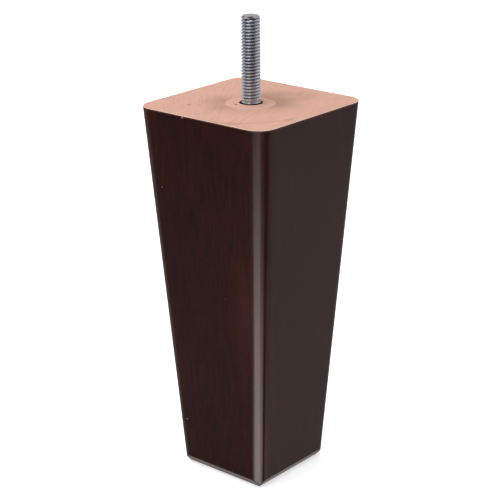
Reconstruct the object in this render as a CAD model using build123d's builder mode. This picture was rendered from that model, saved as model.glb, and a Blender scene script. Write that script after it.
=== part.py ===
from build123d import *

import os
from math import radians, tan

# Tapered square furniture foot: a solid hardwood body with a hanger bolt standing out of its top.
# Millimetres, +Z up. The origin is the centre of the base, where the foot meets the floor, and the
# machine thread of the hanger bolt points up into the furniture. X and Y are square to the faces.

# Hardwood body
height = 156.0
top_width = 65.0
base_width = 43.2
corner_radius = 6.9

# The saw-cut top is bare and its rim is only just broken. The base has a planar bevel on each side.
top_arris = 0.4
base_bevel_inset = 2.5
base_bevel_angle = 53.0

# Machine thread end of the hanger bolt, M8, as a plain cylinder over the thread crests
stud_diameter = 7.8
stud_reach = 34.8
stud_tip_chamfer = 0.8

# Plain middle of the hanger bolt, which shows a little above the wood
collar_diameter = 7.1
collar_reach = 0.8

# Wood screw end of the hanger bolt, at its mean diameter, with its point
wood_screw_diameter = 6.7
wood_screw_length = 34.6
wood_screw_point_length = 7.0

# Seat bored into the top of the body: a relief around the bolt, then a pilot hole that it bites into
relief_gap = 0.84
relief_depth = 5.6
pilot_spare_depth = 2.0
pilot_drill_angle = 118.0

# Levels and sizes that follow from the values above
stud_top = height + stud_reach
collar_top = height + collar_reach
relief_floor = height - relief_depth
screw_tip = relief_floor - wood_screw_length
screw_taper_start = screw_tip + wood_screw_point_length
pilot_floor = screw_tip - pilot_spare_depth
stud_radius = stud_diameter / 2
stud_tip_radius = stud_radius - stud_tip_chamfer
collar_radius = collar_diameter / 2
screw_radius = wood_screw_diameter / 2
relief_radius = stud_radius + relief_gap
drill_point_height = screw_radius / tan(radians(pilot_drill_angle / 2))
bevel_inner_reach = base_width / 2 - base_bevel_inset
bevel_slope = tan(radians(base_bevel_angle))

# One block. Each side plane shows the foot from one side, so a cut drawn there is made four times.
side_planes = [Plane.XZ.rotated((0, 0, turn)) for turn in (0, 90, 180, 270)]

with BuildPart() as foot_body:
    Box(top_width, top_width, height, align=(Align.CENTER, Align.CENTER, Align.MIN))

    # The four tapering faces
    for side_plane in side_planes:
        with BuildSketch(side_plane):
            with BuildLine():
                Polyline(
                    (base_width / 2, 0),
                    (top_width / 2, height),
                    (top_width / 2, 0),
                    close=True,
                )
            make_face()
    extrude(amount=top_width, both=True, mode=Mode.SUBTRACT)

    # The rounds run up the four slanting corners, and then the rim of the top is broken
    fillet(foot_body.edges().filter_by(Plane.XY, reverse=True), corner_radius)
    top_face = foot_body.faces().sort_by(Axis.Z)[-1]
    chamfer(top_face.outer_wire().edges(), top_arris)

    # Each base bevel is one plane, cut after the rounds, so the bevels meet in mitres that cut across
    # the corner rounds and leave a base with four sharp corners.
    for side_plane in side_planes:
        with BuildSketch(side_plane):
            with BuildLine():
                Polyline(
                    (bevel_inner_reach, 0),
                    (base_width, (base_width - bevel_inner_reach) * bevel_slope),
                    (base_width, 0),
                    close=True,
                )
            make_face()
    extrude(amount=top_width, both=True, mode=Mode.SUBTRACT)

    # Stepped seat of the hanger bolt, with the cone that the drill leaves at the bottom
    with Locations((0, 0, height)):
        CounterBoreHole(
            radius=screw_radius,
            counter_bore_radius=relief_radius,
            counter_bore_depth=relief_depth,
            depth=height - pilot_floor,
        )
    with Locations((0, 0, pilot_floor)):
        Cone(
            bottom_radius=0,
            top_radius=screw_radius,
            height=drill_point_height,
            align=(Align.CENTER, Align.CENTER, Align.MAX),
            mode=Mode.SUBTRACT,
        )

# Hanger bolt, turned about Z: chamfered machine thread end, plain collar, pointed wood screw end
with BuildPart() as hanger_bolt:
    with BuildSketch(Plane.XZ):
        with BuildLine():
            Polyline(
                (0, stud_top),
                (stud_tip_radius, stud_top),
                (stud_radius, stud_top - stud_tip_chamfer),
                (stud_radius, collar_top),
                (collar_radius, collar_top),
                (collar_radius, relief_floor),
                (screw_radius, relief_floor),
                (screw_radius, screw_taper_start),
                (0, screw_tip),
                close=True,
            )
        make_face()
    revolve(axis=Axis.Z)

foot_body.part.label = "foot_body"
hanger_bolt.part.label = "hanger_bolt"

os.makedirs("parts", exist_ok=True)
export_step(foot_body.part, "parts/foot_body.step")
export_step(hanger_bolt.part, "parts/hanger_bolt.step")
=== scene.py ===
"""Dresses the tapered furniture foot: lacquered body, bare end-grain top and zinc-plated hanger bolt.

Everything is in metres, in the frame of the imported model: the base stands on z = 0 and +Z points up along
the foot. Azimuth 0 is seen from -Y, and azimuth 90 from +X. The finishes work in millimetres.
"""

import logging
import math
from dataclasses import dataclass
from enum import Enum
from typing import Callable, Sequence, Union

import bpy
from mathutils import Matrix, Vector, noise


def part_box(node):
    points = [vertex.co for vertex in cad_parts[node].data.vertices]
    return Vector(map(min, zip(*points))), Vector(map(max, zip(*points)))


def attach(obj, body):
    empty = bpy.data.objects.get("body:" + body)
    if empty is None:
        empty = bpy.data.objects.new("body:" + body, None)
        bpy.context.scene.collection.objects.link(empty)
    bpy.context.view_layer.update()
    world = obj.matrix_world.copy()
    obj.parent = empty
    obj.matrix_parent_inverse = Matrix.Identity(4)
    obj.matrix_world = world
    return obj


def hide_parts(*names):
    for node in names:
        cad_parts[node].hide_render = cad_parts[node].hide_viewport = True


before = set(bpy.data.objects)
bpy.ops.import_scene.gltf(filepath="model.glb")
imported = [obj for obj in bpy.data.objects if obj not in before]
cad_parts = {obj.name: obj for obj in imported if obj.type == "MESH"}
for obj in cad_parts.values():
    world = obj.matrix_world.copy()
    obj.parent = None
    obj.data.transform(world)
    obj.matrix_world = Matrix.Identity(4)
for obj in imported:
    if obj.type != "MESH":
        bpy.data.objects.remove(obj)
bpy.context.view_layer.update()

LOG = logging.getLogger("foot")
MM = 0.001
# How near, in metres, vertices lie to a cut, to their doubles and to the seam of a thread
CUT_REACH = 1e-7
MERGE_REACH = 1e-7
SEAM_REACH = 1e-6

Triple = tuple[float, float, float]
Colour = Triple
Span = tuple[float, float]
ProfilePoint = tuple[float, float]
Plug = Union["Value", bpy.types.NodeSocket, float, Triple]

UP: Triple = (0.0, 0.0, 1.0)
DOWN: Triple = (0.0, 0.0, -1.0)


class Side(Enum):
    """The four tapering sides, each by the direction that it faces."""

    FRONT = (0.0, -1.0)
    RIGHT = (1.0, 0.0)
    BACK = (0.0, 1.0)
    LEFT = (-1.0, 0.0)


class Coat(Enum):
    """What a face of the body is finished with, by its material slot."""

    LACQUER = 0
    BARE_TOP = 1
    BORE = 2


# Mesh helpers


def deselect() -> None:
    """Deselects every object."""
    bpy.ops.object.select_all(action="DESELECT")


def take(piece: bpy.types.Object) -> None:
    """Makes one object the only selected and the active one.

    Args:
        piece: The object to work on next.
    """
    deselect()
    piece.select_set(True)
    bpy.context.view_layer.objects.active = piece


def edit(piece: bpy.types.Object) -> None:
    """Enters edit mode on one object with its vertices selectable and all of it selected.

    Args:
        piece: The object to edit.
    """
    take(piece)
    bpy.ops.object.mode_set(mode="EDIT")
    bpy.ops.mesh.select_mode(type="VERT")
    bpy.ops.mesh.select_all(action="SELECT")


def leave_edit() -> None:
    """Goes back to object mode."""
    bpy.ops.object.mode_set(mode="OBJECT")


def apply_modifiers(piece: bpy.types.Object) -> None:
    """Applies every modifier of one object, in order.

    Args:
        piece: The object that carries them.
    """
    take(piece)
    for modifier in list(piece.modifiers):
        bpy.ops.object.modifier_apply(modifier=modifier.name)


def close_mesh(piece: bpy.types.Object) -> None:
    """Merges doubled vertices and points every face outwards.

    Args:
        piece: A closed shell.
    """
    edit(piece)
    bpy.ops.mesh.remove_doubles(threshold=MERGE_REACH)
    bpy.ops.mesh.normals_make_consistent(inside=False)
    leave_edit()


def cut_away(piece: bpy.types.Object, place: Triple, normal: Triple) -> None:
    """Cuts a solid or a tube along a plane, drops what lies beyond and closes the cut.

    Args:
        piece: What is cut.
        place: A point of the plane.
        normal: The direction of what goes.
    """
    edit(piece)
    bpy.ops.mesh.bisect(
        plane_co=place, plane_no=normal, use_fill=True, clear_outer=True, threshold=CUT_REACH
    )
    leave_edit()


def combine(target: bpy.types.Object, tool: bpy.types.Object, operation: str) -> None:
    """Joins, cuts or trims one solid by another, and deletes the tool.

    Args:
        target: The solid that stays.
        tool: The solid that shapes it.
        operation: UNION, DIFFERENCE or INTERSECT.
    """
    modifier = target.modifiers.new("combine", "BOOLEAN")
    modifier.operation = operation
    modifier.solver = "EXACT"
    modifier.object = tool
    apply_modifiers(target)
    bpy.data.objects.remove(tool, do_unlink=True)


def draw_profile(name: str, points: Sequence[ProfilePoint]) -> bpy.types.Object:
    """Draws a chain of edges in the XZ plane, one extrusion for each point.

    Args:
        name: The new object's name.
        points: (radius, height) pairs in metres, from one end of the chain to the other.

    Returns:
        The object that holds the chain.
    """
    deselect()
    bpy.ops.mesh.primitive_plane_add(size=MM, location=(0.0, 0.0, 0.0))
    piece = bpy.context.active_object
    piece.name = name
    edit(piece)
    bpy.ops.mesh.merge(type="CENTER")
    radius, height = points[0]
    bpy.ops.transform.translate(value=(radius, 0.0, height))
    for radius_next, height_next in points[1:]:
        step = (radius_next - radius, 0.0, height_next - height)
        bpy.ops.mesh.extrude_vertices_move(TRANSFORM_OT_translate={"value": step})
        radius, height = radius_next, height_next
    leave_edit()
    return piece


def turn_solid(name: str, points: Sequence[ProfilePoint], steps: int) -> bpy.types.Object:
    """Turns a profile about the Z axis into a closed solid, as on a lathe.

    Args:
        name: The new object's name.
        points: (radius, height) pairs in metres that start and end on the axis.
        steps: How many stretches go round.

    Returns:
        The turned solid.
    """
    piece = draw_profile(name, points)
    edit(piece)
    bpy.ops.mesh.spin(steps=steps, angle=math.tau, center=(0.0, 0.0, 0.0), axis=UP)
    leave_edit()
    close_mesh(piece)
    return piece


def reshape(piece: bpy.types.Object, move: Callable[[Vector], Vector]) -> None:
    """Moves each vertex of an object to where a function puts it.

    Args:
        piece: The object whose mesh changes.
        move: Gives the new place of a vertex from its old one.
    """
    for vertex in piece.data.vertices:
        vertex.co = move(vertex.co.copy())
    piece.data.update()


# Shader helpers


class Value:
    """An output of a node tree. Numbers among them are added and multiplied as plain numbers are."""

    def __init__(self, graph: "Graph", socket: bpy.types.NodeSocket) -> None:
        """Keeps the output and its graph.

        Args:
            graph: The graph that it belongs to.
            socket: The output.
        """
        self.graph = graph
        self.socket = socket

    def __add__(self, other: Plug) -> "Value":
        """Adds a number."""
        return self.graph.math("ADD", self, other)

    def __sub__(self, other: Plug) -> "Value":
        """Takes a number away."""
        return self.graph.math("SUBTRACT", self, other)

    def __rsub__(self, other: float) -> "Value":
        """Takes this from a plain number."""
        return self.graph.math("SUBTRACT", other, self)

    def __mul__(self, other: Plug) -> "Value":
        """Multiplies by a number."""
        return self.graph.math("MULTIPLY", self, other)

    def __truediv__(self, other: Plug) -> "Value":
        """Divides by a number."""
        return self.graph.math("DIVIDE", self, other)


class Graph:
    """Builds one node tree, with outputs and plain values plugged in alike."""

    def __init__(self, tree: bpy.types.NodeTree) -> None:
        """Empties the tree and keeps it.

        Args:
            tree: The node tree of a material, a world or a node group.
        """
        self.tree = tree
        tree.nodes.clear()

    def node(self, kind: str, **settings: object) -> bpy.types.Node:
        """Adds a node.

        Args:
            kind: The node's type name.
            settings: Properties to set on it.

        Returns:
            The new node.
        """
        made = self.tree.nodes.new(kind)
        for name, value in settings.items():
            setattr(made, name, value)
        return made

    def plug(self, socket: bpy.types.NodeSocket, value: Plug) -> None:
        """Links an output to an input, or sets the input to a constant.

        Args:
            socket: The input.
            value: Another node's output, a number or a colour.
        """
        if isinstance(value, Value):
            value = value.socket
        if isinstance(value, bpy.types.NodeSocket):
            self.tree.links.new(value, socket)
        elif isinstance(value, tuple) and len(socket.default_value) > len(value):
            socket.default_value = (*value, 1.0)
        else:
            socket.default_value = value

    def feed(self, made: bpy.types.Node, *values: Plug) -> Value:
        """Plugs values into the first inputs of a node.

        Args:
            made: The node.
            values: What goes in, in order.

        Returns:
            The node's first output.
        """
        for socket, value in zip(made.inputs, values):
            self.plug(socket, value)
        return Value(self, made.outputs[0])

    def math(self, operation: str, *values: Plug, clamp: bool = False) -> Value:
        """Works out an operation on numbers, held between 0 and 1 where clamp is set."""
        return self.feed(self.node("ShaderNodeMath", operation=operation, use_clamp=clamp), *values)

    def vector(self, operation: str, *values: Plug) -> Value:
        """Works out an operation on vectors that gives a vector."""
        return self.feed(self.node("ShaderNodeVectorMath", operation=operation), *values)

    def length(self, value: Plug) -> Value:
        """Gives the length of a vector.

        Args:
            value: The vector.

        Returns:
            Its length.
        """
        made = self.node("ShaderNodeVectorMath", operation="LENGTH")
        self.feed(made, value)
        return Value(self, made.outputs["Value"])

    def ease(self, value: Plug, low: Plug, high: Plug) -> Value:
        """Rises smoothly from 0 at one value to 1 at another, which may be the smaller."""
        return self.feed(self.node("ShaderNodeMapRange", interpolation_type="SMOOTHSTEP"), value, low, high)

    def below(self, value: Plug, top: float, depths: Span) -> Value:
        """Rises smoothly from 0 at one depth under a top to 1 at another."""
        return self.ease(value, top - depths[0], top - depths[1])

    def blend(self, factor: Plug, first: Plug, second: Plug, how: str = "MIX") -> Value:
        """Mixes two colours.

        Args:
            factor: 0 gives the first, 1 the second.
            first: A colour.
            second: A colour.
            how: The blend type.

        Returns:
            The mixed colour.
        """
        made = self.node("ShaderNodeMix", data_type="RGBA", blend_type=how, clamp_factor=True)
        colours = [socket for socket in made.inputs if socket.type == "RGBA"]
        self.plug(made.inputs[0], factor)
        self.plug(colours[0], first)
        self.plug(colours[1], second)
        return Value(self, next(socket for socket in made.outputs if socket.type == "RGBA"))

    def noise(self, place: Plug, scale: Plug, detail: float = 2.0, roughness: float = 0.5) -> Value:
        """Adds soft noise.

        Args:
            place: Where it is read.
            scale: How many lumps a unit holds.
            detail: How many finer layers it has.
            roughness: How strong the finer layers are.

        Returns:
            The noise, about 0.5 on average.
        """
        made = self.node("ShaderNodeTexNoise")
        self.plug(made.inputs["Vector"], place)
        self.plug(made.inputs["Scale"], scale)
        made.inputs["Detail"].default_value = detail
        made.inputs["Roughness"].default_value = roughness
        return Value(self, made.outputs[0])

    def stretch(self, place: Plug, scale: Triple) -> Value:
        """Scales a place along each axis, which squeezes or draws out the pattern read there."""
        return self.vector("MULTIPLY", place, scale)

    def millimetres(self) -> Value:
        """Gives the place on the piece in millimetres, from its object coordinates."""
        coordinates = self.node("ShaderNodeTexCoord")
        return self.stretch(coordinates.outputs["Object"], (1 / MM, 1 / MM, 1 / MM))

    def split(self, place: Plug) -> list[Value]:
        """Gives the three parts of a vector.

        Args:
            place: The vector.

        Returns:
            Its x, y and z.
        """
        made = self.node("ShaderNodeSeparateXYZ")
        self.feed(made, place)
        return [Value(self, output) for output in made.outputs]

    def join(self, x: Plug, y: Plug, z: Plug) -> Value:
        """Makes a vector from three parts."""
        return self.feed(self.node("ShaderNodeCombineXYZ"), x, y, z)

    def bump(self, height: Plug, depth: float) -> Value:
        """Turns a height from 0 to 1 into a surface normal.

        Args:
            height: The height pattern.
            depth: How deep it is, in metres.

        Returns:
            The bumped normal.
        """
        made = self.node("ShaderNodeBump")
        made.inputs["Distance"].default_value = depth
        self.plug(made.inputs["Height"], height)
        return Value(self, made.outputs["Normal"])

    def group(self, tree: bpy.types.NodeTree, **values: Plug) -> Value:
        """Places a node group with its own values.

        Args:
            tree: The group.
            values: Its inputs by name.

        Returns:
            The group's first output.
        """
        made = self.node("ShaderNodeGroup", node_tree=tree)
        for name, value in values.items():
            self.plug(made.inputs[name], value)
        return Value(self, made.outputs[0])


def new_group(name: str, inputs: dict[str, str], output: str) -> tuple[Graph, dict[str, Value]]:
    """Starts a shader node group.

    Args:
        name: The group's name.
        inputs: Socket types by input name.
        output: The name of its one output, a number.

    Returns:
        The group's graph and what it is given, by name.
    """
    tree = bpy.data.node_groups.new(name, "ShaderNodeTree")
    graph = Graph(tree)
    for socket, kind in inputs.items():
        tree.interface.new_socket(socket, in_out="INPUT", socket_type=kind)
    tree.interface.new_socket(output, in_out="OUTPUT", socket_type="NodeSocketFloat")
    given = graph.node("NodeGroupInput")
    return graph, {socket: Value(graph, given.outputs[socket]) for socket in inputs}


def end_group(graph: Graph, value: Plug) -> bpy.types.NodeTree:
    """Wires the result of a group to its output.

    Args:
        graph: The group's graph.
        value: What the group puts out.

    Returns:
        The finished group.
    """
    graph.plug(graph.node("NodeGroupOutput").inputs[0], value)
    return graph.tree


class Effects:
    """Shader effects that more than one finish uses, each built once as a node group."""

    def __init__(self) -> None:
        """Builds the groups."""
        self.drift = self._drift()
        self.specks = self._specks()

    @staticmethod
    def _drift() -> bpy.types.NodeTree:
        """Makes slow uneven tone, a factor about 1 that multiplies a colour or a roughness.

        Returns:
            The group.
        """
        inputs = {"Place": "NodeSocketVector", "Scale": "NodeSocketFloat", "Amount": "NodeSocketFloat"}
        graph, given = new_group("tone_drift", inputs, "Factor")
        soft = graph.noise(given["Place"], given["Scale"], detail=3.0)
        return end_group(graph, (soft - 0.5) * given["Amount"] + 1.0)

    @staticmethod
    def _specks() -> bpy.types.NodeTree:
        """Makes small scattered specks, a mask that is 1 in a speck. Share 0 gives the fewest.

        Returns:
            The group.
        """
        fewest, spread, edge = 0.8, 0.3, 0.06
        inputs = {"Place": "NodeSocketVector", "Scale": "NodeSocketFloat", "Share": "NodeSocketFloat"}
        graph, given = new_group("specks", inputs, "Mask")
        fine = graph.noise(given["Place"], given["Scale"], detail=1.0)
        level = fewest - given["Share"] * spread
        return end_group(graph, graph.ease(fine, level, level + edge))

    def tone(self, graph: Graph, place: Plug, drift: Span) -> Value:
        """Gives a factor that drifts about 1, so many times a millimetre and so far."""
        return graph.group(self.drift, Place=place, Scale=drift[0], Amount=drift[1])

    def uneven(self, graph: Graph, colour: Plug, place: Plug, drift: Span) -> Value:
        """Lets a colour drift lighter and darker, as tone does."""
        factor = self.tone(graph, place, drift)
        return graph.blend(1.0, colour, graph.join(factor, factor, factor), how="MULTIPLY")


def new_material(name: str) -> tuple[Graph, bpy.types.Node, bpy.types.Material]:
    """Starts a material with a Principled shader.

    Args:
        name: The material's name.

    Returns:
        Its graph, its shader and the material.
    """
    material = bpy.data.materials.new(name)
    material.use_nodes = True
    graph = Graph(material.node_tree)
    shader = graph.node("ShaderNodeBsdfPrincipled")
    graph.plug(graph.node("ShaderNodeOutputMaterial").inputs["Surface"], shader.outputs[0])
    return graph, shader, material


# Sizes


@dataclass(frozen=True)
class BodySizes:
    """The wooden body, in metres and degrees. Its height and top width come from the frame."""

    height: float
    top_width: float
    base_width: float = 43.2 * MM
    top_corner: float = 7.6 * MM
    base_corner: float = 5.0 * MM
    base_bevel: float = 2.5 * MM
    base_bevel_angle: float = 53.0
    arris: float = 0.3 * MM
    relief_radius: float = 4.74 * MM
    relief_depth: float = 5.6 * MM
    pilot_radius: float = 3.3 * MM
    pilot_depth: float = 42.0 * MM
    drill_point: float = 2.0 * MM

    @classmethod
    def from_frame(cls) -> "BodySizes":
        """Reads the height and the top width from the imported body."""
        low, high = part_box("foot_body")
        return cls(height=high.z - low.z, top_width=high.x - low.x)


@dataclass(frozen=True)
class BoltSizes:
    """The hanger bolt, in metres. Its two ends come from the frame."""

    tip: float
    point: float
    wood_top: float
    stud_radius: float
    pitch: float = 1.25 * MM
    thread_depth: float = 0.76 * MM
    tip_chamfer: float = 0.8 * MM
    thread_start: float = 1.15 * MM
    neck_radius: float = 3.42 * MM
    neck_overlap: float = 0.15 * MM
    collar_radius: float = 3.78 * MM
    collar_reach: float = 0.55 * MM
    relief_depth: float = 5.6 * MM
    wood_pitch: float = 2.8 * MM
    wood_core_radius: float = 2.75 * MM
    wood_crest_radius: float = 3.7 * MM
    wood_point_length: float = 8.0 * MM

    @classmethod
    def from_frame(cls) -> "BoltSizes":
        """Reads the ends and the thread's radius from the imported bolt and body."""
        low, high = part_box("hanger_bolt")
        return cls(tip=high.z, point=low.z, wood_top=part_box("foot_body")[1].z, stud_radius=high.x)


# Finishes


@dataclass(frozen=True)
class Lumps:
    """Soft noise, squeezed along each axis and eased over a span into a mask."""

    span: Span
    scale: float = 1.0
    stretch: Triple = (1.0, 1.0, 1.0)
    detail: float = 2.0
    roughness: float = 0.5
    share: float = 1.0

    def read(self, graph: Graph, place: Plug) -> Value:
        """Reads the mask at a place, as strong as its share."""
        soft = graph.noise(graph.stretch(place, self.stretch), self.scale, self.detail, self.roughness)
        return graph.ease(soft, *self.span) * self.share


@dataclass(frozen=True)
class Mark:
    """One small mark that the photograph shows, in millimetres."""

    place: Triple
    size: float
    colour: Colour
    share: float
    core: float = 0.2

    def paint(self, graph: Graph, place: Plug, colour: Plug) -> Value:
        """Paints the mark over a colour.

        Args:
            graph: The material's graph.
            place: The place on the piece in millimetres.
            colour: What lies under the mark.

        Returns:
            The colour with the mark on it.
        """
        away = graph.length(graph.vector("SUBTRACT", place, self.place))
        spot = graph.ease(away, self.size, self.size * self.core)
        return graph.blend(spot * self.share, colour, self.colour)


@dataclass(frozen=True)
class LacquerFinish:
    """Dark brown satin lacquer over stained hardwood, warmer where it is thin near the corners, with one
    painted reflection beside the front corner.
    """

    effects: Effects
    sizes: BodySizes
    stain: Colour = (0.0128, 0.0048, 0.0048)
    warm: Colour = (0.0480, 0.0115, 0.0075)
    rim: Colour = (0.0480, 0.0080, 0.0030)
    dust: Colour = (0.30, 0.27, 0.25)
    thin_corner: Span = (0.25, 0.95)
    thin_patch: Lumps = Lumps(stretch=(0.05, 0.05, 0.016), span=(0.30, 0.75), share=0.15)
    # Where the painted reflection, a warm patch, lies and how far it spreads
    painted_reflection_place: Triple = (19.2, -29.0, 80.0)
    painted_reflection_stretch: Triple = (0.085, 0.05, 0.022)
    painted_reflection_span: Span = (0.0, 1.9)
    grain: Lumps = Lumps(stretch=(1.0, 1.0, 0.03), scale=1.1, detail=4.0, span=(0.35, 0.7), share=0.29)
    drift: Span = (0.045, 0.35)
    rim_depths: Span = (0.9, 0.35)
    rim_roughness: float = 0.4
    dust_scale: float = 0.9
    dust_share: float = 0.35
    gloss_roughness: float = 0.15
    smear_stretch: Triple = (1.0, 1.0, 0.5)
    smear_drift: Span = (0.12, 0.3)
    peel_scale: float = 0.9
    peel_share: float = 0.6
    pore_stretch: Triple = (3.0, 3.0, 0.25)
    pore_share: float = 0.4
    relief: float = 0.012 * MM
    marks: tuple[Mark, ...] = (
        Mark(place=(-21.1, -30.3, 124.2), size=0.45, colour=(0.20, 0.18, 0.17), share=0.5),
        Mark(place=(-16.9, -23.1, 21.4), size=0.42, colour=(0.40, 0.38, 0.36), share=0.6),
        Mark(place=(32.4, 3.8, 154.6), size=0.80, colour=(0.10, 0.04, 0.035), share=0.5),
        Mark(place=(-7.3, -32.4, 155.4), size=0.65, colour=(0.40, 0.26, 0.21), share=0.6),
    )

    def make(self) -> bpy.types.Material:
        """Builds the lacquer material.

        Returns:
            The material.
        """
        graph, shader, material = new_material("dark_lacquer")
        place = graph.millimetres()
        # The sawn edge of the lacquer shows as a fine red-brown line round the top
        edge = graph.below(graph.split(place)[2], self.sizes.height / MM, self.rim_depths)
        colour = graph.blend(edge, self._stained(graph, place), self.rim)
        dust = graph.group(self.effects.specks, Place=place, Scale=self.dust_scale, Share=0.0)
        colour = graph.blend(dust * self.dust_share, colour, self.dust)
        for mark in self.marks:
            colour = mark.paint(graph, place, colour)
        graph.plug(shader.inputs["Base Color"], colour)
        smear = self.effects.tone(graph, graph.stretch(place, self.smear_stretch), self.smear_drift)
        rough = edge * self.rim_roughness + smear * self.gloss_roughness
        graph.plug(shader.inputs["Roughness"], rough)
        shader.inputs["IOR"].default_value = 1.5
        peel = graph.noise(place, self.peel_scale) * self.peel_share
        pores = graph.noise(graph.stretch(place, self.pore_stretch), 1.0) * self.pore_share
        graph.plug(shader.inputs["Normal"], graph.bump(peel + pores, self.relief))
        return material

    def _stained(self, graph: Graph, place: Plug) -> Value:
        """Colours the stained wood under the lacquer, with one painted reflection as a warm patch.

        Args:
            graph: The material's graph.
            place: The place on the piece in millimetres.

        Returns:
            The colour.
        """
        x, y, z = graph.split(place)
        sizes = self.sizes
        half = z * ((sizes.top_width - sizes.base_width) / 2 / sizes.height) + sizes.base_width / MM / 2
        nearest = graph.math("MINIMUM", graph.math("ABSOLUTE", x), graph.math("ABSOLUTE", y))
        # Stain is thinner towards the corners, in long uneven patches that follow the grain
        thin = graph.ease(nearest / half, *self.thin_corner) * self.thin_patch.read(graph, place)
        # Painted reflection: one warm glowing patch beside the front corner, half way up
        away = graph.vector("SUBTRACT", place, self.painted_reflection_place)
        glow = graph.ease(1.0 - graph.length(graph.stretch(away, self.painted_reflection_stretch)), *self.painted_reflection_span)
        colour = graph.blend(graph.math("ADD", thin, glow, clamp=True), self.stain, self.warm)
        # Grain lines run down the foot
        colour = graph.blend(self.grain.read(graph, place), colour, self.rim)
        return self.effects.uneven(graph, colour, place, self.drift)


@dataclass(frozen=True)
class EndGrainFinish:
    """Bare saw-cut end grain, with rings about a pith that lies at the bolt.

    Front and right are directions across the face, to the corner by the camera and to the right of it.
    """

    effects: Effects
    sizes: BodySizes
    pale: Colour = (0.655, 0.385, 0.290)
    late: Colour = (0.400, 0.225, 0.165)
    pink: Colour = (0.640, 0.350, 0.265)
    heart: Colour = (0.70, 0.45, 0.36)
    edge: Colour = (0.830, 0.610, 0.500)
    pith: Span = (0.5, -1.5)
    front: Span = (0.643, -0.766)
    right: Span = (0.766, 0.643)
    near: Span = (4.0, 22.0)
    sway_scale: float = 0.05
    sway_share: float = 0.30
    disc: Span = (10.4, 9.2)
    disc_share: float = 0.25
    ring: Span = (22.0, 11.0)
    ring_swing: float = 0.35
    ring_level: float = 0.65
    ring_share: float = 0.72
    outer_radius: float = 30.7
    outer: Span = (1.8, 0.3)
    outer_near: Span = (17.0, 27.0)
    outer_share: float = 0.42
    wave_rate: float = 1.9
    wave: Span = (-0.2, 1.0)
    wave_share: float = 0.05
    ray_rates: Span = (34.0, 0.10)
    rays: Lumps = Lumps(detail=3.0, roughness=0.7, span=(0.45, 0.75), share=0.13)
    saw_centre: Span = (20.0, 80.0)
    saw_rates: Span = (95.0, 0.05)
    saw: Lumps = Lumps(detail=3.0, roughness=0.7, span=(0.40, 0.72))
    saw_shares: Span = (0.2, 0.3)
    pores: Lumps = Lumps(scale=1.9, detail=3.0, roughness=0.75, span=(0.48, 0.72))
    pore_shares: Span = (0.3, 0.42)
    patch_centre: Span = (14.0, 16.0)
    patch_squeeze: float = 1.45
    patch: Span = (19.0, 4.0)
    patch_share: float = 0.45
    near_share: float = -0.15
    flush: Lumps = Lumps(scale=0.06, span=(0.35, 0.7), share=0.6)
    rim_depths: Span = (0.01, 0.06)
    drift: Span = (0.10, 0.14)
    roughness: float = 0.78
    rough_drift: Span = (0.4, 0.2)
    fibre_stretch: Triple = (0.35, 5.0, 1.0)
    fibre_height: float = 0.4
    saw_height: float = -0.4
    pore_height: float = -0.5
    relief: float = 0.05 * MM
    marks: tuple[Mark, ...] = (
        Mark(place=(-16.7, -18.3, 156.0), size=1.5, colour=(0.24, 0.16, 0.136), share=0.6),
        Mark(place=(-12.8, -16.4, 156.0), size=0.9, colour=(0.24, 0.16, 0.136), share=0.5),
        Mark(place=(-4.6, -5.4, 156.0), size=0.8, colour=(0.24, 0.13, 0.10), share=0.5),
        Mark(place=(-32.2, 19.0, 156.0), size=1.3, colour=(0.10, 0.06, 0.05), share=0.8),
    )

    def make(self) -> bpy.types.Material:
        """Builds the end grain material.

        Returns:
            The material.
        """
        graph, shader, material = new_material("bare_end_grain")
        place = graph.millimetres()
        flat = graph.stretch(place, (1.0, 1.0, 0.0))
        centred = graph.vector("SUBTRACT", flat, (*self.pith, 0.0))
        x, y, _ = graph.split(centred)
        ahead = x * self.front[0] + y * self.front[1]
        aside = x * self.right[0] + y * self.right[1]
        near = graph.ease(ahead, *self.near)
        reach = graph.length(centred)
        sway = (graph.noise(flat, self.sway_scale, detail=1.0) - 0.5) * self.sway_share
        radius = reach * sway + reach
        disc = graph.ease(radius, *self.disc)
        saw = self._saw_lines(graph, ahead, aside)
        pores = self.pores.read(graph, flat)
        darkness = self._figure(graph, radius, graph.math("ARCTAN2", y, x), disc, ahead)
        darkness += saw * (near * self.saw_shares[0] + self.saw_shares[1])
        pitting = pores * (near * self.pore_shares[0] + self.pore_shares[1])
        patch = self._patch(graph, ahead, aside) + near * self.near_share
        darkness = graph.math("ADD", darkness, pitting + patch, clamp=True)
        colour = graph.blend(darkness, self.pale, self.late)
        colour = graph.blend(self.flush.read(graph, flat), colour, self.pink)
        colour = graph.blend(disc * self.disc_share, colour, self.heart)
        for mark in self.marks:
            colour = mark.paint(graph, place, colour)
        # The rim is paler, a thin pale line round the top edge
        rim = graph.below(graph.split(place)[2], self.sizes.height / MM, self.rim_depths)
        colour = graph.blend(rim, colour, self.edge)
        graph.plug(shader.inputs["Base Color"], self.effects.uneven(graph, colour, flat, self.drift))
        rough = self.effects.tone(graph, flat, self.rough_drift) * self.roughness
        graph.plug(shader.inputs["Roughness"], rough)
        shader.inputs["IOR"].default_value = 1.4
        fibres = graph.noise(graph.stretch(flat, self.fibre_stretch), 1.0) * self.fibre_height
        relief = fibres + saw * self.saw_height + pores * self.pore_height
        graph.plug(shader.inputs["Normal"], graph.bump(relief, self.relief))
        return material

    def _figure(self, graph: Graph, radius: Value, angle: Value, disc: Value, ahead: Value) -> Value:
        """Draws the growth rings and the rays that run out from the pith.

        Args:
            graph: The material's graph.
            radius: The distance from the pith.
            angle: The direction from the pith.
            disc: The mask of the pale disc at the middle.
            ahead: How far a place lies to the front.

        Returns:
            How dark they make a place.
        """
        # A darker ring round the disc is strongest along one diagonal
        diagonal = graph.math("SINE", angle * 2.0) * self.ring_swing + self.ring_level
        ring = graph.math("SUBTRACT", graph.ease(radius, *self.ring), disc, clamp=True) * diagonal
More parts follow.
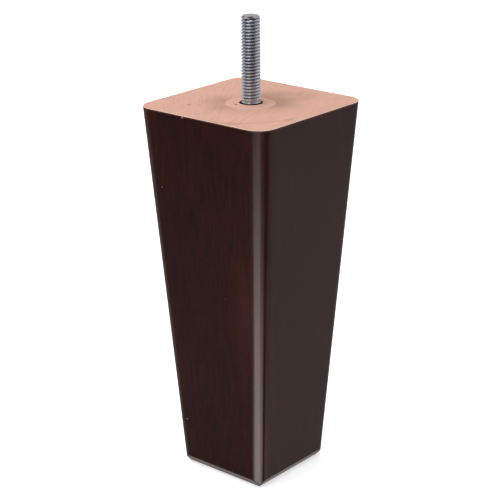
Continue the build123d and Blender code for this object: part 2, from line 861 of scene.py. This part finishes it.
        # A thin late ring lies near the front corner
        outer = graph.ease(graph.math("ABSOLUTE", radius - self.outer_radius), *self.outer)
        outer = outer * graph.ease(ahead, *self.outer_near)
        waves = graph.ease(graph.math("SINE", radius * self.wave_rate), *self.wave) * self.wave_share
        around = graph.join(angle * self.ray_rates[0], radius * self.ray_rates[1], 0.0)
        rings = ring * self.ring_share + outer * self.outer_share + waves
        return rings + self.rays.read(graph, around)

    def _saw_lines(self, graph: Graph, ahead: Value, aside: Value) -> Value:
        """Draws the faint lines of the saw, which fan out across the face.

        Args:
            graph: The material's graph.
            ahead: How far a place lies to the front.
            aside: How far it lies to the right.

        Returns:
            The mask of the lines.
        """
        fan = graph.math("ARCTAN2", aside + self.saw_centre[0], self.saw_centre[1] - ahead)
        lines = graph.join(fan * self.saw_rates[0], ahead * self.saw_rates[1], 0.0)
        return self.saw.read(graph, lines)

    def _patch(self, graph: Graph, ahead: Value, aside: Value) -> Value:
        """Darkens one patch behind the bolt and to its right.

        Args:
            graph: The material's graph.
            ahead: How far a place lies to the front.
            aside: How far it lies to the right.

        Returns:
            How dark it makes a place.
        """
        deeper = ahead * self.patch_squeeze + self.patch_centre[1]
        away = graph.length(graph.join(aside - self.patch_centre[0], deeper, 0.0))
        return graph.ease(away, *self.patch) * self.patch_share


@dataclass(frozen=True)
class BoreFinish:
    """The torn wood inside the hole round the bolt, darkened with painted shade and mottled where the fibres
    are torn.
    """

    effects: Effects
    red_brown: Colour = (0.34, 0.10, 0.07)
    deep: Colour = (0.10, 0.032, 0.026)
    torn: Lumps = Lumps(stretch=(1.6, 1.6, 0.5), detail=3.0, span=(0.35, 0.7))
    drift: Span = (0.5, 0.6)
    relief: float = 0.15 * MM

    def make(self) -> bpy.types.Material:
        """Builds the bore material.

        Returns:
            The material.
        """
        graph, shader, material = new_material("bored_wood")
        place = graph.millimetres()
        torn = self.torn.read(graph, place)
        # Both colours are dark: painted shade inside the hole, varied by the torn fibres
        colour = graph.blend(torn, self.deep, self.red_brown)
        graph.plug(shader.inputs["Base Color"], self.effects.uneven(graph, colour, place, self.drift))
        shader.inputs["Roughness"].default_value = 0.8
        graph.plug(shader.inputs["Normal"], graph.bump(torn, self.relief))
        return material


@dataclass(frozen=True)
class ZincFinish:
    """Bright zinc plating, a little blue, with faint clouding."""

    effects: Effects
    sizes: BoltSizes
    bright: Colour = (0.70, 0.75, 0.84)
    cloud: Colour = (0.50, 0.53, 0.60)
    # Dirt and painted shade in the valleys of the thread
    grime_and_shade: Colour = (0.33, 0.32, 0.34)
    cut_end: Colour = (0.62, 0.57, 0.60)
    spot: Colour = (0.25, 0.25, 0.27)
    clouds: Lumps = Lumps(scale=0.9, detail=4.0, roughness=0.6, span=(0.40, 0.70), share=0.5)
    valley: Span = (3.72, 3.28)
    valley_depths: Span = (0.5, 0.8)
    valley_share: float = 0.85
    mottle: Lumps = Lumps(scale=1.4, detail=3.0, span=(0.2, 0.6))
    end_depths: Span = (0.9, 0.7)
    nick: Mark = Mark(place=(-0.8, -3.2, 190.4), size=1.0, colour=(0.04, 0.04, 0.04), share=0.85)
    spot_scale: float = 2.6
    spot_count: float = 0.2
    spot_share: float = 0.4
    roughness: float = 0.24
    drift: Span = (1.2, 0.6)
    fine_stretch: Triple = (6.0, 6.0, 12.0)
    relief: float = 0.006 * MM

    def make(self) -> bpy.types.Material:
        """Builds the plating material.

        Returns:
            The material.
        """
        graph, shader, material = new_material("zinc_plating")
        place = graph.millimetres()
        colour = graph.blend(self.clouds.read(graph, place), self.bright, self.cloud)
        # The valleys of the thread are darker, with dirt and painted shade where the thread shades itself
        x, y, z = graph.split(place)
        tip = self.sizes.tip / MM
        depth = graph.ease(graph.length(graph.join(x, y, 0.0)), *self.valley)
        depth = depth * graph.below(z, tip, self.valley_depths)
        colour = graph.blend(depth * self.valley_share, colour, self.grime_and_shade)
        # The cut end is a little pinker and more mottled, with a dark nick where the thread starts
        on_end = graph.below(z, tip, self.end_depths) * self.mottle.read(graph, place)
        colour = self.nick.paint(graph, place, graph.blend(on_end, colour, self.cut_end))
        spots = graph.group(self.effects.specks, Place=place, Scale=self.spot_scale, Share=self.spot_count)
        graph.plug(shader.inputs["Base Color"], graph.blend(spots * self.spot_share, colour, self.spot))
        shader.inputs["Metallic"].default_value = 1.0
        rough = self.effects.tone(graph, place, self.drift) * self.roughness
        graph.plug(shader.inputs["Roughness"], rough)
        fine = graph.noise(graph.stretch(place, self.fine_stretch), 1.0)
        graph.plug(shader.inputs["Normal"], graph.bump(fine, self.relief))
        return material


# Pieces


@dataclass
class FootBody:
    """The tapered wooden block with its rounded corners, base bevels and bored top."""

    sizes: BodySizes
    lacquer: LacquerFinish
    end_grain: EndGrainFinish
    bore: BoreFinish
    corner_steps: int = 20
    bore_steps: int = 96
    arris_steps: int = 3
    arris_angle: float = 25.0
    smooth_angle: float = 28.0
    overcut: float = 2.0 * MM
    mouth_rings: int = 4
    mouth_step: float = 0.5 * MM
    tear_depth: float = 0.42 * MM
    tear_reach: float = 2.5 * MM
    tear_least: float = 0.25
    tear_scales: Triple = (520.0, 1900.0, 300.0)
    tear_fine: float = 0.6
    pit_place: Span = (-2.5 * MM, -6.3 * MM)
    pit_radius: float = 0.62 * MM
    pit_draw: Triple = (1.25, 0.8, 0.9)
    pit_scale: float = 2300.0
    pit_unevenness: float = 0.35
    flat_depth: float = 0.02 * MM
    rim_share: float = 0.6
    bore_reach: float = 8.0 * MM
    bore_low: float = 10.0 * MM
    pit_reach: float = 1.2 * MM
    name: str = "foot_body_dressed"

    def build(self) -> bpy.types.Object:
        """Makes the whole piece.

        Returns:
            The finished body, riding on the frame.
        """
        piece = self._block()
        self._bevel_base(piece)
        self._soften(piece)
        combine(piece, self._bore_cutter(), "DIFFERENCE")
        combine(piece, self._pit_cutter(), "DIFFERENCE")
        close_mesh(piece)
        self._dress(piece)
        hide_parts("foot_body")
        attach(piece, "root")
        return piece

    def _block(self) -> bpy.types.Object:
        """Bridges a small rounded square at the base to a large one at the top.

        Returns:
            The closed tapering block.
        """
        sizes = self.sizes
        deselect()
        bpy.ops.mesh.primitive_plane_add(size=sizes.base_width, location=(0.0, 0.0, 0.0))
        piece = bpy.context.active_object
        piece.name = self.name
        edit(piece)
        self._round_corners(sizes.base_corner)
        bpy.ops.mesh.select_all(action="DESELECT")
        bpy.ops.mesh.primitive_plane_add(size=sizes.top_width, location=(0.0, 0.0, sizes.height))
        self._round_corners(sizes.top_corner)
        bpy.ops.mesh.select_all(action="SELECT")
        bpy.ops.mesh.delete(type="ONLY_FACE")
        bpy.ops.mesh.select_all(action="SELECT")
        bpy.ops.mesh.bridge_edge_loops()
        bpy.ops.mesh.select_all(action="SELECT")
        bpy.ops.mesh.fill_holes(sides=0)
        leave_edit()
        close_mesh(piece)
        return piece

    def _round_corners(self, radius: float) -> None:
        """Rounds the corners of the selected square to a radius."""
        bpy.ops.mesh.bevel(offset=radius, segments=self.corner_steps, profile=0.5, affect="VERTICES")

    def _bevel_base(self, piece: bpy.types.Object) -> None:
        """Cuts a planar bevel on each side of the base.

        Args:
            piece: The block.
        """
        reach = self.sizes.base_width / 2 - self.sizes.base_bevel
        tilt = math.radians(self.sizes.base_bevel_angle)
        for side in Side:
            x, y = side.value
            normal = (x * math.sin(tilt), y * math.sin(tilt), -math.cos(tilt))
            cut_away(piece, (x * reach, y * reach, 0.0), normal)

    def _soften(self, piece: bpy.types.Object) -> None:
        """Softens every arris a little, as sanding and lacquer leave it.

        Args:
            piece: The block with its base bevels.
        """
        soften = piece.modifiers.new("soften", "BEVEL")
        soften.width = self.sizes.arris
        soften.segments = self.arris_steps
        soften.limit_method = "ANGLE"
        soften.angle_limit = math.radians(self.arris_angle)
        apply_modifiers(piece)

    def _bore_cutter(self) -> bpy.types.Object:
        """Turns the stepped cutter of the bolt's hole, with a torn mouth.

        Returns:
            The cutter.
        """
        sizes = self.sizes
        top = sizes.height
        floor = top - sizes.relief_depth
        pilot = top - sizes.pilot_depth
        mouth = [(sizes.relief_radius, top - step * self.mouth_step) for step in range(self.mouth_rings)]
        cutter = turn_solid(
            "bore_cutter",
            [
                (0.0, top + self.overcut),
                (sizes.relief_radius, top + self.overcut),
                *mouth,
                (sizes.relief_radius, floor),
                (sizes.pilot_radius, floor),
                (sizes.pilot_radius, pilot),
                (0.0, pilot - sizes.drill_point),
            ],
            self.bore_steps,
        )
        reshape(cutter, self._tear)
        return cutter

    def _tear(self, place: Vector) -> Vector:
        """Moves the relief's wall in or out unevenly, most at its mouth.

        Args:
            place: A vertex of the cutter.

        Returns:
            Its torn place, or the same place away from the wall.
        """
        out = Vector((place.x, place.y, 0.0))
        if out.length < self.sizes.relief_radius * 0.98:
            return place
        coarse, fine, rise = self.tear_scales
        depth = max(0.0, self.sizes.height - place.z)
        fade = max(self.tear_least, 1.0 - depth / self.tear_reach)
        rough = noise.noise(out * coarse + Vector((3.1, 0.0, depth * rise)))
        rough += self.tear_fine * noise.noise(out * fine + Vector((0.0, 7.7, 0.0)))
        return place + out.normalized() * (self.tear_depth * rough * fade)

    def _pit_cutter(self) -> bpy.types.Object:
        """Makes the small uneven pit in the end grain beside the hole.

        Returns:
            The cutter.
        """
        deselect()
        centre = (*self.pit_place, self.sizes.height)
        bpy.ops.mesh.primitive_ico_sphere_add(subdivisions=3, radius=self.pit_radius, location=centre)
        cutter = bpy.context.active_object
        bpy.ops.object.transform_apply(location=True, rotation=True, scale=True)
        reshape(cutter, self._roughen)
        return cutter

    def _roughen(self, place: Vector) -> Vector:
        """Makes the ball that cuts the pit long across the face and uneven.

        Args:
            place: A vertex of the ball.

        Returns:
            Its new place.
        """
        middle = Vector((*self.pit_place, self.sizes.height))
        away = Vector([reach * draw for reach, draw in zip(place - middle, self.pit_draw)])
        return middle + away * (1.0 + self.pit_unevenness * noise.noise(place * self.pit_scale))

    def _dress(self, piece: bpy.types.Object) -> None:
        """Gives each face its finish and the piece its smooth shading.

        Args:
            piece: The finished mesh.
        """
        for finish in (self.lacquer, self.end_grain, self.bore):
            piece.data.materials.append(finish.make())
        for face in piece.data.polygons:
            face.material_index = self._coat(face.center).value
        take(piece)
        bpy.ops.object.shade_smooth_by_angle(angle=math.radians(self.smooth_angle))
        weigh = piece.modifiers.new("weigh_normals", "WEIGHTED_NORMAL")
        weigh.keep_sharp = True
        apply_modifiers(piece)

    def _coat(self, middle: Vector) -> Coat:
        """Tells what a face is finished with.

        Args:
            middle: The middle of the face.

        Returns:
            Its coat.
        """
        top = self.sizes.height
        pit_x, pit_y = self.pit_place
        by_bore = math.hypot(middle.x, middle.y) < self.bore_reach and middle.z > self.bore_low
        in_pit = math.hypot(middle.x - pit_x, middle.y - pit_y) < self.pit_reach and middle.z > top / 2
        if middle.z > top - self.flat_depth:
            return Coat.BARE_TOP
        if by_bore or in_pit:
            return Coat.BORE
        if middle.z > top - self.sizes.arris * self.rim_share:
            return Coat.BARE_TOP
        return Coat.LACQUER


@dataclass
class HangerBolt:
    """The steel bolt: machine thread, plain collar and wood screw end."""

    sizes: BoltSizes
    zinc: ZincFinish
    steps: int = 72
    smooth_angle: float = 35.0
    taper_curve: float = 0.8
    taper_least: float = 0.03
    name: str = "hanger_bolt_dressed"

    def build(self) -> bpy.types.Object:
        """Makes the whole piece.

        Returns:
            The finished bolt, riding on the frame.
        """
        piece = self._machine_thread()
        piece.name = self.name
        combine(piece, self._collar(), "UNION")
        combine(piece, self._wood_screw(), "UNION")
        close_mesh(piece)
        piece.data.materials.append(self.zinc.make())
        take(piece)
        bpy.ops.object.shade_smooth_by_angle(angle=math.radians(self.smooth_angle))
        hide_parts("hanger_bolt")
        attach(piece, "root")
        return piece

    def _wind(self, name: str, points: Sequence[ProfilePoint], pitch: float, turns: int) -> bpy.types.Object:
        """Winds one thread's profile up a helix.

        Args:
            name: The new object's name.
            points: (radius, height) pairs over exactly one pitch.
            pitch: The rise of a turn.
            turns: How many turns are wound.

        Returns:
            The open threaded tube.
        """
        piece = draw_profile(name, points)
        screw = piece.modifiers.new("wind", "SCREW")
        screw.axis = "Z"
        screw.angle = math.tau
        screw.screw_offset = pitch
        screw.iterations = turns
        screw.steps = self.steps
        screw.render_steps = self.steps
        apply_modifiers(piece)
        edit(piece)
        bpy.ops.mesh.remove_doubles(threshold=SEAM_REACH)
        leave_edit()
        return piece

    @staticmethod
    def _trim(tube: bpy.types.Object, low: float, high: float) -> None:
        """Cuts a tube off square at both ends and closes it.

        Args:
            tube: The tube.
            low: The height of its lower end.
            high: The height of its upper end.
        """
        cut_away(tube, (0.0, 0.0, high), UP)
        cut_away(tube, (0.0, 0.0, low), DOWN)
        close_mesh(tube)

    def _machine_thread(self) -> bpy.types.Object:
        """Makes the threaded stud with its chamfered, slightly dished end.

        Returns:
            The stud.
        """
        sizes = self.sizes
        crest = sizes.stud_radius
        root = crest - sizes.thread_depth
        start = sizes.wood_top - 2 * sizes.pitch
        turns = math.ceil((sizes.tip - start) / sizes.pitch) + 2
        shape = (
            (0.0, root),
            (0.05, root),
            (0.10, root + 0.05 * MM),
            (0.39, crest - 0.06 * MM),
            (0.43, crest - 0.012 * MM),
            (0.46, crest),
            (0.50, crest),
            (0.56, crest - 0.010 * MM),
            (0.62, crest - 0.040 * MM),
            (0.67, crest - 0.088 * MM),
            (0.71, crest - 0.155 * MM),
            (0.955, root + 0.05 * MM),
            (1.0, root),
        )
        points = [(radius, start + share * sizes.pitch) for share, radius in shape]
        stud = self._wind("stud", points, sizes.pitch, turns)
        self._trim(stud, sizes.wood_top + sizes.thread_start, sizes.tip + 0.5 * MM)
        chamfer_foot = sizes.tip - sizes.tip_chamfer - 0.2 * MM
        end = turn_solid(
            "stud_end",
            [
                (0.0, sizes.tip - 0.16 * MM),
                (1.5 * MM, sizes.tip - 0.13 * MM),
                (2.4 * MM, sizes.tip),
                (crest - sizes.tip_chamfer, sizes.tip - 0.05 * MM),
                (crest + 0.2 * MM, chamfer_foot),
                (crest + 0.2 * MM, sizes.wood_top - 1 * MM),
                (0.0, sizes.wood_top - 1 * MM),
            ],
            self.steps,
        )
        combine(stud, end, "INTERSECT")
        return stud

    def _collar(self) -> bpy.types.Object:
        """Turns the plain neck that the threads run out into, and the collar at the wood.

        Returns:
            The collar.
        """
        sizes = self.sizes
        top = sizes.wood_top + sizes.collar_reach
        neck_top = sizes.wood_top + sizes.thread_start + sizes.neck_overlap
        floor = sizes.wood_top - sizes.relief_depth
        root = sizes.stud_radius - sizes.thread_depth
        return turn_solid(
            "collar",
            [
                (0.0, neck_top + 0.7 * MM),
                (root - 0.2 * MM, neck_top + 0.7 * MM),
                (sizes.neck_radius, neck_top),
                (sizes.neck_radius, top + 0.1 * MM),
                (sizes.neck_radius + 0.08 * MM, top),
                (sizes.collar_radius - 0.05 * MM, top - 0.22 * MM),
                (sizes.collar_radius, top - 0.3 * MM),
                (sizes.collar_radius - 0.05 * MM, sizes.wood_top + 0.08 * MM),
                (sizes.neck_radius, sizes.wood_top - 0.05 * MM),
                (sizes.neck_radius, floor + 0.4 * MM),
                (sizes.wood_core_radius + 0.3 * MM, floor),
                (0.0, floor),
            ],
            self.steps,
        )

    def _wood_screw(self) -> bpy.types.Object:
        """Makes the coarse wood thread that tapers to a point, hidden in the body.

        Returns:
            The screw end.
        """
        sizes = self.sizes
        top = sizes.wood_top - sizes.relief_depth + 0.6 * MM
        start = sizes.point - sizes.wood_pitch
        turns = math.ceil((top - start) / sizes.wood_pitch) + 1
        core, crest = sizes.wood_core_radius, sizes.wood_crest_radius
        shape = ((0.0, core), (0.30, core), (0.46, crest), (0.54, crest), (0.70, core), (1.0, core))
        points = [(radius, start + share * sizes.wood_pitch) for share, radius in shape]
        screw = self._wind("wood_screw", points, sizes.wood_pitch, turns)
        self._trim(screw, sizes.point, top)
        reshape(screw, self._taper)
        return screw

    def _taper(self, place: Vector) -> Vector:
        """Draws the lowest stretch of the screw in to its point.

        Args:
            place: A vertex of the screw.

        Returns:
            Its new place.
        """
        share = min(1.0, (place.z - self.sizes.point) / self.sizes.wood_point_length)
        narrow = max(self.taper_least, share) ** self.taper_curve
        return Vector((place.x * narrow, place.y * narrow, place.z))


# Studio


@dataclass(frozen=True)
class Panel:
    """One soft panel that shows in the gloss of the lacquer and the zinc, in degrees.

    A glow below 0 takes light away.
    """

    azimuth: float
    half_width: float
    low: float
    high: float
    glow: float
    soft: float = 8.0
    soft_end: float = 12.0

    def light(self, graph: Graph, azimuth: Value, elevation: Value) -> Value:
        """Works out how much the panel adds in a direction.

        Args:
            graph: The world's graph.
            azimuth: The direction's azimuth in degrees.
            elevation: The direction's elevation in degrees.

        Returns:
            The panel's glow there, 0 away from it.
        """
        aside = graph.math("ABSOLUTE", graph.math("WRAP", azimuth - self.azimuth, 180.0, -180.0))
        inside = graph.ease(aside, self.half_width + self.soft, self.half_width - self.soft)
        above = graph.ease(elevation, self.low - self.soft_end, self.low + self.soft_end)
        under = graph.ease(elevation, self.high + self.soft_end, self.high - self.soft_end)
        return inside * (above * under) * self.glow


@dataclass
class Studio:
    """The pale floor, the soft lights, what the gloss reflects, and the camera."""

    body: BodySizes
    photo_width: int = 500
    sensor: float = 36.0
    focal_pixels: float = 1570.65
    distance: float = 646.64 * MM
    azimuth: float = 40.337
    elevation: float = 19.704
    roll: float = -0.455
    shift_right: float = -1.057 * MM
    shift_up: float = 15.076 * MM
    ambient_gloss: float = 0.07
    panels: tuple[Panel, ...] = (
        Panel(azimuth=0.0, half_width=180.0, low=-110.0, high=-19.0, glow=0.19, soft=0.5, soft_end=3.0),
        Panel(azimuth=25.0, half_width=23.0, low=-47.0, high=-31.0, glow=4.1, soft=7.0, soft_end=9.0),
        Panel(azimuth=60.0, half_width=14.0, low=-48.0, high=-34.0, glow=2.9, soft=7.0, soft_end=6.0),
        Panel(azimuth=-7.0, half_width=10.0, low=-50.0, high=-35.0, glow=1.6, soft=6.0, soft_end=3.0),
        Panel(azimuth=-40.0, half_width=24.0, low=-89.0, high=-10.0, glow=-0.20, soft=10.0),
        Panel(azimuth=82.0, half_width=14.0, low=-89.0, high=-10.0, glow=-0.24, soft=10.0),
        Panel(azimuth=45.0, half_width=60.0, low=-27.0, high=-17.0, glow=-0.18, soft=16.0, soft_end=3.0),
        Panel(azimuth=128.0, half_width=26.0, low=-60.0, high=-16.0, glow=0.07, soft=14.0, soft_end=6.0),
        Panel(azimuth=118.0, half_width=23.8, low=-60.0, high=-33.0, glow=0.33, soft=4.0, soft_end=4.0),
        Panel(azimuth=142.0, half_width=20.0, low=-60.0, high=-33.0, glow=-0.12, soft=10.0, soft_end=4.0),
        Panel(azimuth=-40.0, half_width=30.0, low=-34.0, high=-26.0, glow=0.07, soft=10.0, soft_end=4.0),
        Panel(azimuth=224.0, half_width=40.0, low=-80.0, high=-40.0, glow=0.22, soft=10.0, soft_end=4.0),
        Panel(azimuth=215.0, half_width=100.0, low=-16.0, high=75.0, glow=0.46, soft=15.0, soft_end=4.0),
        Panel(azimuth=-42.0, half_width=42.0, low=-14.0, high=8.0, glow=0.30, soft=22.0, soft_end=2.5),
        Panel(azimuth=118.0, half_width=38.0, low=-14.0, high=8.0, glow=0.36, soft=16.0, soft_end=2.5),
        Panel(azimuth=0.0, half_width=26.0, low=12.0, high=62.0, glow=1.1, soft=16.0, soft_end=6.0),
        Panel(azimuth=60.0, half_width=60.0, low=12.0, high=62.0, glow=0.30, soft=15.0, soft_end=6.0),
        Panel(azimuth=255.0, half_width=36.0, low=28.0, high=110.0, glow=0.2, soft=8.0, soft_end=8.0),
    )

    def build(self) -> None:
        """Makes the floor, the lights, the surround and the camera."""
        self._floor()
        self._lights()
        self._surround()
        self._camera()

    @staticmethod
    def _floor() -> None:
        """Lays a wide pale floor under the base."""
        deselect()
        bpy.ops.mesh.primitive_circle_add(vertices=96, radius=6.0, fill_type="NGON", location=(0, 0, 0))
        floor = bpy.context.active_object
        floor.name = "floor"
        graph, shader, material = new_material("pale_floor")
        soft = graph.noise(graph.millimetres(), 0.002)
        graph.plug(shader.inputs["Base Color"], graph.blend(soft, (0.90, 0.90, 0.90), (0.93, 0.93, 0.93)))
        shader.inputs["Emission Color"].default_value = (1.0, 1.0, 1.0, 1.0)
        shader.inputs["Emission Strength"].default_value = 0.55
        shader.inputs["Roughness"].default_value = 0.9
        shader.inputs["Specular IOR Level"].default_value = 0.1
        floor.data.materials.append(material)
        floor.visible_glossy = False

    @staticmethod
    def _light(name: str, place: Triple, size: float, power: float) -> None:
        """Hangs one square soft light that faces the foot.

        Args:
            name: The light's name.
            place: Where it hangs.
            size: The length of its side.
            power: Its power in watts.
        """
        data = bpy.data.lights.new(name, "AREA")
        data.shape = "SQUARE"
        data.size = size
        data.energy = power
        light = bpy.data.objects.new(name, data)
        bpy.context.scene.collection.objects.link(light)
        light.location = place
        aim = Vector((0.0, 0.0, 0.1)) - Vector(place)
        light.rotation_euler = aim.to_track_quat("-Z", "Y").to_euler()
        light.visible_glossy = False

    def _lights(self) -> None:
        """Hangs the soft overhead light and a weaker one by the camera."""
        self._light("overhead_light", (-0.35, -0.25, 1.5), 1.4, 16.0)
        self._light("front_light", (0.2, -1.5, 0.7), 1.0, 5.0)

    def _surround(self) -> None:
        """Makes the world: white to the camera, soft white light, and panels in the gloss."""
        world = bpy.data.worlds.new("studio")
        bpy.context.scene.world = world
        world.use_nodes = True
        graph = Graph(world.node_tree)
        direction = graph.node("ShaderNodeTexCoord").outputs["Generated"]
        x, y, z = graph.split(direction)
        azimuth = graph.math("DEGREES", graph.math("ARCTAN2", x, y * -1.0))
        elevation = graph.math("DEGREES", graph.math("ARCSINE", z))
        gloss: Plug = self.ambient_gloss
        for panel in self.panels:
            gloss = panel.light(graph, azimuth, elevation) + gloss
        gloss = graph.math("MAXIMUM", gloss, 0.0)
        rays = graph.node("ShaderNodeLightPath").outputs
        # What lies below the horizon is a little warmer than the white around it
        low = graph.ease(elevation, -12.0, -20.0)
        seen = graph.join(gloss * (low * 0.14 + 1.0), gloss, gloss * (low * -0.05 + 1.0))
        light = graph.blend(rays["Is Glossy Ray"], (0.55, 0.55, 0.56), seen)
        light = graph.blend(rays["Is Camera Ray"], light, (1.0, 1.0, 1.0))
        background = graph.node("ShaderNodeBackground")
        graph.plug(background.inputs["Color"], light)
        graph.plug(graph.node("ShaderNodeOutputWorld").inputs["Surface"], background.outputs[0])

    def _camera(self) -> None:
        """Sets the camera where the photograph was taken from."""
        data = bpy.data.cameras.new("camera")
        data.sensor_width = self.sensor
        data.lens = self.focal_pixels * self.sensor / self.photo_width
        data.clip_start = 0.01
        data.clip_end = 20.0
        camera = bpy.data.objects.new("camera", data)
        bpy.context.scene.collection.objects.link(camera)
        turn, rise, tilt = (math.radians(value) for value in (self.azimuth, self.elevation, self.roll))
        back = Vector((math.sin(turn) * math.cos(rise), -math.cos(turn) * math.cos(rise), math.sin(rise)))
        level = Vector((math.cos(turn), math.sin(turn), 0.0))
        upright = back.cross(level)
        right = math.cos(tilt) * level + math.sin(tilt) * upright
        up = -math.sin(tilt) * level + math.cos(tilt) * upright
        middle = Vector((0.0, 0.0, self.body.height / 2))
        place = middle + back * self.distance + right * self.shift_right + up * self.shift_up
        turned = Matrix((right, up, back)).transposed().to_4x4()
        camera.matrix_world = Matrix.Translation(place) @ turned
        bpy.context.scene.camera = camera
        bpy.context.scene.view_settings.view_transform = "Standard"


def main() -> None:
    """Builds the studio and the two pieces, and reports each."""
    logging.basicConfig(level=logging.INFO, format="%(name)s: %(message)s")
    effects = Effects()
    body_sizes = BodySizes.from_frame()
    lacquer = LacquerFinish(effects, body_sizes)
    end_grain = EndGrainFinish(effects, body_sizes)
    body = FootBody(body_sizes, lacquer, end_grain, BoreFinish(effects))
    bolt_sizes = BoltSizes.from_frame()
    bolt = HangerBolt(bolt_sizes, ZincFinish(effects, bolt_sizes))
    Studio(body_sizes).build()
    for maker in (body, bolt):
        piece = maker.build()
        LOG.info("%s: %d faces", piece.name, len(piece.data.polygons))


if __name__ == "__main__":
    main()
